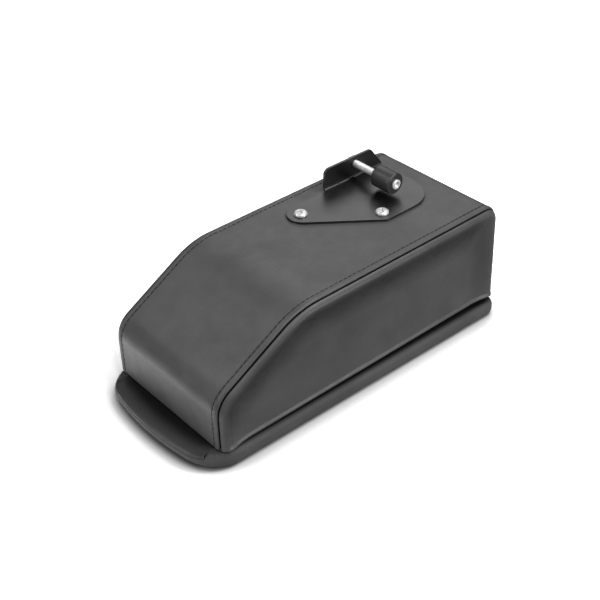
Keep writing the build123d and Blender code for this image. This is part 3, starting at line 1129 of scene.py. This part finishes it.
smooth_into(screw_mesh, shape)
print("one screw has", len(screw_mesh.polygons), "faces")

# %% [markdown]
# ## Three screws with Geometry Nodes
# The tree leans every screw with the tilted box and spins each one by its own angle, because no fitter
# stops every recess at the same angle.

# %% Tree that sets screws on points
screw_seed = 3
least_spin = 0.2
most_spin = 1.4


def screw_tree():
    tree, group, lay = new_tree("screws on points", (
        ("Screw", "Object", None), ("Lean", "Float", 0.0), ("Seed", "Int", screw_seed),
        ("Metal", "Material", None)), "Metal")
    nodes = tree.nodes
    thing = nodes.new("GeometryNodeObjectInfo")
    spin = nodes.new("FunctionNodeRandomValue")
    spin.data_type = "FLOAT"
    settle(spin, {2: least_spin, 3: most_spin})
    spun = nodes.new("ShaderNodeCombineXYZ")
    leaning = nodes.new("ShaderNodeCombineXYZ")
    first = nodes.new("FunctionNodeEulerToRotation")
    second = nodes.new("FunctionNodeEulerToRotation")
    both = nodes.new("FunctionNodeRotateRotation")
    both.rotation_space = "LOCAL"
    wire(group.outputs["Screw"], thing, "Object")
    wire(group.outputs["Seed"], spin, "Seed")
    wire(spin.outputs[1], spun, "Z")
    wire(group.outputs["Lean"], leaning, "Y")
    wire(leaning.outputs["Vector"], first, "Euler")
    wire(spun.outputs["Vector"], second, "Euler")
    wire(first.outputs["Rotation"], both, "Rotation")
    wire(second.outputs["Rotation"], both, "Rotate By")
    wire(group.outputs["Geometry"], lay, "Points")
    wire(thing.outputs["Geometry"], lay, "Instance")
    wire(both.outputs["Rotation"], lay, "Rotation")
    return tree


# %% Screws on their points
plate_thickness = 2.0
plate_top = box_height + plate_thickness
screw_spots = [(-125.1, 27.1, plate_top), (-79.3, -12.1, plate_top), (-40.0, 28.0, plate_top)]
spot_mesh = bpy.data.meshes.new("screw points")
spot_mesh.from_pydata([tuple(p * mm) for p in stand_on_lid(screw_spots)], [], [])
screw_values = {"Screw": screw, "Lean": -tilt, "Seed": screw_seed, "Metal": zinc}
grown("bracket_pan_screws", spot_mesh, screw_tree(), screw_values, "box", "zinc_steel", "bracket_screws")
bpy.data.objects.remove(screw)

# %% [markdown]
# ## The stud and its sleeve
# The armrest turns on a headed stud with a plastic sleeve. The stud's thread is a helix: the radius falls
# and rises once in every millimetre along it, shifted a little for every step round it. The head's socket
# has six flats, so there the radius depends on the angle alone.

# %% Stud
stud_x = -55.8
stud_z = plate_top + 10.8
stud_radius = 3.0
stud_sides = 24
head_end = -4.0
tail_end = 46.9
tail_chamfer = 0.6
thread_depth = 0.55
thread_step = 0.125
socket_mark = -1.0
socket_floor = head_end + 3.5
socket_flat = 1.75


def turn_on_stud(name, line, sides, material, slot, node, radius_at=None):
    points = [(stud_x + x, along, stud_z + z) for x, z, along in lathe(line, sides, radius_at)]
    faces = planks(len(line), sides, 0, True)
    make_piece(name, stand_on_lid(points), faces, None, material, "box", slot, node)


def stud_shape(radius, along, t):
    if radius == stud_radius and 0.0 < along < tail_end - tail_chamfer:
        wave = (along - t / (2.0 * pi)) % 1.0
        return radius - thread_depth * abs(2.0 * wave - 1.0)
    if radius == socket_mark:
        from_flat = (t + pi / 6.0) % (pi / 3.0) - pi / 6.0
        return socket_flat / cos(from_flat)
    return radius


stud_line = [(0.0, socket_floor), (socket_mark, socket_floor), (socket_mark, head_end + 0.3), (2.3, head_end),
             (3.3, head_end), (3.8, head_end + 0.25), (4.0, head_end + 0.7), (4.0, -2.05), (3.05, -2.0)]
stud_line += [(stud_radius, y) for y in np.arange(-1.9, tail_end - tail_chamfer, thread_step)]
stud_line += [(2.4, tail_end), (0.0, tail_end)]
turn_on_stud("threaded_stud", stud_line, stud_sides, zinc, "zinc_steel", "pivot_stud", stud_shape)

# %% Sleeve
sleeve_sides = 48
sleeve_near = [(3.1, -1.7), (3.4, -2.0), (7.4, -2.0), (7.85, -1.94), (8.25, -1.72), (8.45, -1.35),
               (8.5, -0.9)]
sleeve_far = [(8.5, 15.3), (8.45, 15.75), (8.25, 16.12), (7.85, 16.34), (7.4, 16.4), (3.4, 16.4),
              (3.1, 16.1)]
sleeve_line = sleeve_near + [(8.5, 4.0), (8.5, 10.0)] + sleeve_far + [(3.1, 7.0), sleeve_near[0]]
turn_on_stud("plastic_sleeve", sleeve_line, sleeve_sides, plastic, "black_plastic", "pivot_sleeve")

# %% [markdown]
# ## Floor
# The armrest lies on white paper. To the camera the paper is bright white, goes on without an end and keeps
# only the soft shade close to the armrest, which the lamps cast in part and a painted shade adds to: an
# occlusion test darkens the paper's colour there. Black skin also shows what it mirrors, so to all other
# rays the paper is grey: on the near side a painted shade darkens it within a hand's width of the box, and in
# front of the nose a painted pool of light makes it far brighter than paper can be. The pairs of numbers say
# where on the paper, in metres, each change starts and ends.

# %% Paper
paper_gap = 0.0002
paper_half = 6.0
shade_reach = 0.03
# where the painted shade on the paper's near side starts and ends
near_painted_shade_span = (-0.15, -0.085)
far_end = (-0.05, 0.1)
# where the painted pool of light before the nose starts and ends
before_nose = (-0.19, -0.13)
patch_end = (-0.23, -0.185)
horizon = (0.32, 0.8)
least_patch = 0.45
open_glow = 0.3
# grey of the painted shade on the paper's near side
painted_shade_grey = (0.06, 0.06, 0.06)
paper_grey = (0.4, 0.4, 0.4)
# colour of the painted pool of light, far brighter than paper
painted_light_colour = (4.0, 4.0, 4.0)
paper, paper_surface = shader("white paper", (0.9, 0.9, 0.9), 0.9, 0.0, 0.0)
place = place_of(paper_surface)
along_paper = new_node(paper_surface, "SeparateXYZ")
wire(place, along_paper, "Vector")
# painted shade: to all rays but the camera's the paper goes dark on its near side
near_painted_shade = spread(along_paper.outputs["Y"], 0.0, 1.0, *near_painted_shade_span)
towards_far = spread(along_paper.outputs["Y"], least_patch, 1.0, *far_end)
ahead = spread(along_paper.outputs["X"], 1.0, 0.0, *before_nose)
not_too_far = spread(along_paper.outputs["X"], 0.0, 1.0, *patch_end)


def combine(operation, first, second):
    node = new_node(paper_surface, "Math")
    node.operation = operation
    wire(first, node, 0)
    wire(second, node, 1)
    return node.outputs[0]


# painted light: a bright patch on the paper before the nose, fading towards the near end
painted_light_share = combine("MULTIPLY", combine("MULTIPLY", towards_far, ahead), not_too_far)
mirrored = tint(painted_light_share, tint(near_painted_shade, painted_shade_grey, paper_grey), painted_light_colour)
# painted shade: an occlusion test darkens the paper's colour close to the armrest
nearness = new_node(paper_surface, "AmbientOcclusion")
settle(nearness, {"Distance": shade_reach})
white_with_painted_contact_shade = spread(nearness.outputs["AO"], 0.2, 1.15, 0.4, 0.85)
to_camera = new_node(paper_surface, "LightPath").outputs["Is Camera Ray"]
wire(tint(to_camera, mirrored, white_with_painted_contact_shade), paper_surface, "Base Color")
reach = new_node(paper_surface, "VectorMath")
reach.operation = "LENGTH"
wire(place, reach, 0)
far_away = spread(reach.outputs["Value"], 0.0, 1.0, *horizon)
# the paper's glow fades out close to the armrest too, which adds to the painted shade there
open_paper = spread(nearness.outputs["AO"], 0.0, open_glow, 0.7, 1.0)
glow = combine("MULTIPLY", combine("MAXIMUM", far_away, open_paper), to_camera)
wire(glow, paper_surface, "Emission Strength")
settle(paper_surface, {"Emission Color": (1.0, 1.0, 1.0, 1.0)})
floor_mesh = bpy.data.meshes.new("paper_floor")
paper_corners = [(x * paper_half, y * paper_half, 0.0) for x, y in ((-1, -1), (1, -1), (1, 1), (-1, 1))]
floor_mesh.from_pydata(paper_corners, [], [(0, 1, 2, 3)])
floor_mesh.materials.append(paper)
floor = loose("paper_floor", floor_mesh)
floor.location.z = cad_bounds[0][2] - paper_gap
print("paper lies at, mm:", round(floor.location.z / mm, 2))

# %% [markdown]
# ## Room and lamps
# The room is white to the camera and gives no light. A large panel behind the armrest lights the top, and
# the bracket mirrors it. The lamps in front and on the far left light the slope, the nose and the paper
# before it. The lamps on the near side light the side panel from above and from low down, and the smallest
# draws a shine on the rolled seam. Each has a place and a size in metres and a power in watts, which was set
# by comparing tones with the photograph.

# %% Room and lamps
room = bpy.data.worlds.new("white room")
room.use_nodes = True
scene.world = room
room_light = room.node_tree.nodes["Background"]
settle(room_light, {"Color": (1.0, 1.0, 1.0, 1.0)})
wire(new_node(room_light, "LightPath").outputs["Is Camera Ray"], room_light, "Strength")
lamp_aim = Vector((0.0, 0.0, 0.05))
lamps = [
    ("panel behind", (0.95, 1.0, 1.15), (1.5, 1.3), 8.6),
    ("lamp in front", (-0.9, 0.2, 0.5), (0.5, 0.5), 3.4),
    ("lamp on the far left", (-0.5, 0.6, 1.0), (0.5, 0.5), 3.0),
    ("lamp on the near side", (0.05, -0.85, 1.0), (0.3, 0.3), 4.0),
    ("small lamp on the near left", (-0.35, -0.65, 1.0), (0.12, 0.12), 3.0),
    ("lamp on the near right", (0.5, -0.45, 1.15), (0.3, 0.3), 8.6),
    ("low lamp on the near side", (0.3, -0.75, 0.2), (0.3, 0.2), 3.0),
]
for name, lamp_place, size, power in lamps:
    lamp = bpy.data.lights.new(name, "AREA")
    lamp.shape = "RECTANGLE"
    lamp.size, lamp.size_y = size
    lamp.energy = power
    light = loose(name, lamp)
    light.location = lamp_place
    light.rotation_euler = (lamp_aim - Vector(lamp_place)).to_track_quat("-Z", "Y").to_euler()
scene.view_settings.view_transform = "Standard"
print("lamps:", [name for name, *_ in lamps])
